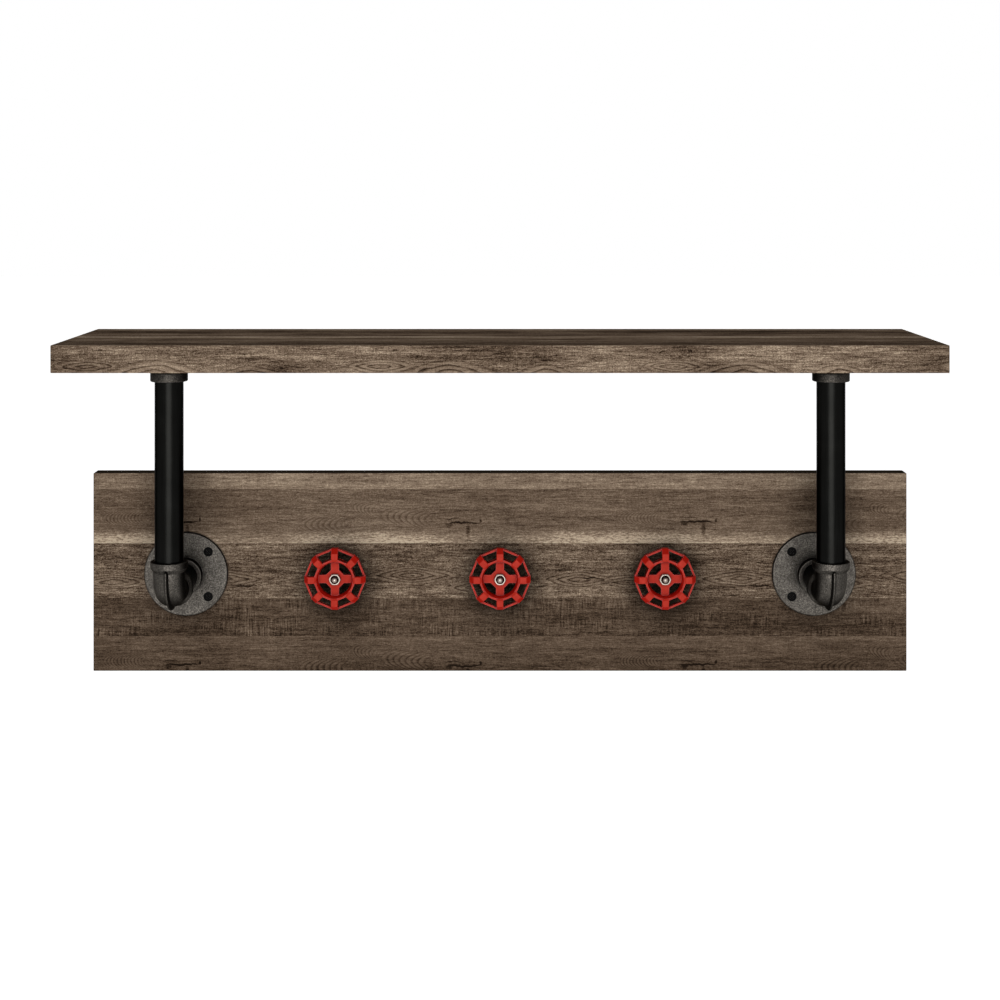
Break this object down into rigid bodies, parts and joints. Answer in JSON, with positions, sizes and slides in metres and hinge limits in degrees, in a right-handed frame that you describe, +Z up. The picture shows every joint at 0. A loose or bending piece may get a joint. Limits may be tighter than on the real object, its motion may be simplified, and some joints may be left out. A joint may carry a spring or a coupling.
{
  "type": "wall shelf with hooks",
  "caption": "Wood wall shelf on black pipe brackets with cast elbows and flanges, above a back board with red valve-wheel coat hooks that turn on their bolts.",
  "frame": {"origin": "on the wall plane, midway between the two keyholes in the back board's back", "axes": "+X to the right as seen from the room, +Y into the wall, +Z up"},
  "size_m": [0.9, 0.2, 0.377],
  "materials": {
    "shelf_wood": "satin printed plank grain",
    "board_wood": "satin printed plank grain",
    "cast_iron": "sand-cast, waxed",
    "black_pipe": "satin black",
    "black_screw": "black oxide",
    "red_enamel": "red enamel",
    "bright_steel": "bright plated",
    "zinc_plate": "zinc plated"
  },
  "bodies": {
    "shelf": {"shelf_board": "shelf_wood", "back_board": "board_wood", "left_wall_flange": "cast_iron", "left_wall_flange_screws": "black_screw", "left_nipple": "black_pipe", "left_elbow": "cast_iron", "left_post": "black_pipe", "left_shelf_flange": "cast_iron", "left_shelf_flange_screws": "black_screw", "left_hanger_plate": "zinc_plate", "left_hanger_screws": "zinc_plate", "right_wall_flange": "cast_iron", "right_wall_flange_screws": "black_screw", "right_nipple": "black_pipe", "right_elbow": "cast_iron", "right_post": "black_pipe", "right_shelf_flange": "cast_iron", "right_shelf_flange_screws": "black_screw", "right_hanger_plate": "zinc_plate", "right_hanger_screws": "zinc_plate", "left_hook_bolt": "bright_steel", "left_hook_spacer": "black_pipe", "left_hook_nut": "bright_steel", "middle_hook_bolt": "bright_steel", "middle_hook_spacer": "black_pipe", "middle_hook_nut": "bright_steel", "right_hook_bolt": "bright_steel", "right_hook_spacer": "black_pipe", "right_hook_nut": "bright_steel"},
    "left_wheel": {"left_hook_wheel": "red_enamel"},
    "middle_wheel": {"middle_hook_wheel": "red_enamel"},
    "right_wheel": {"right_hook_wheel": "red_enamel"}
  },
  "joints": [
    {"name": "left_wheel_turn", "type": "hinge", "parent": "shelf", "child": "left_wheel", "pos_m": [-0.18, -0.042, -0.061], "axis": [0, -1, 0], "continuous": true},
    {"name": "middle_wheel_turn", "type": "hinge", "parent": "shelf", "child": "middle_wheel", "pos_m": [0, -0.042, -0.061], "axis": [0, -1, 0], "continuous": true},
    {"name": "right_wheel_turn", "type": "hinge", "parent": "shelf", "child": "right_wheel", "pos_m": [0.18, -0.042, -0.061], "axis": [0, -1, 0], "continuous": true}
  ]
}
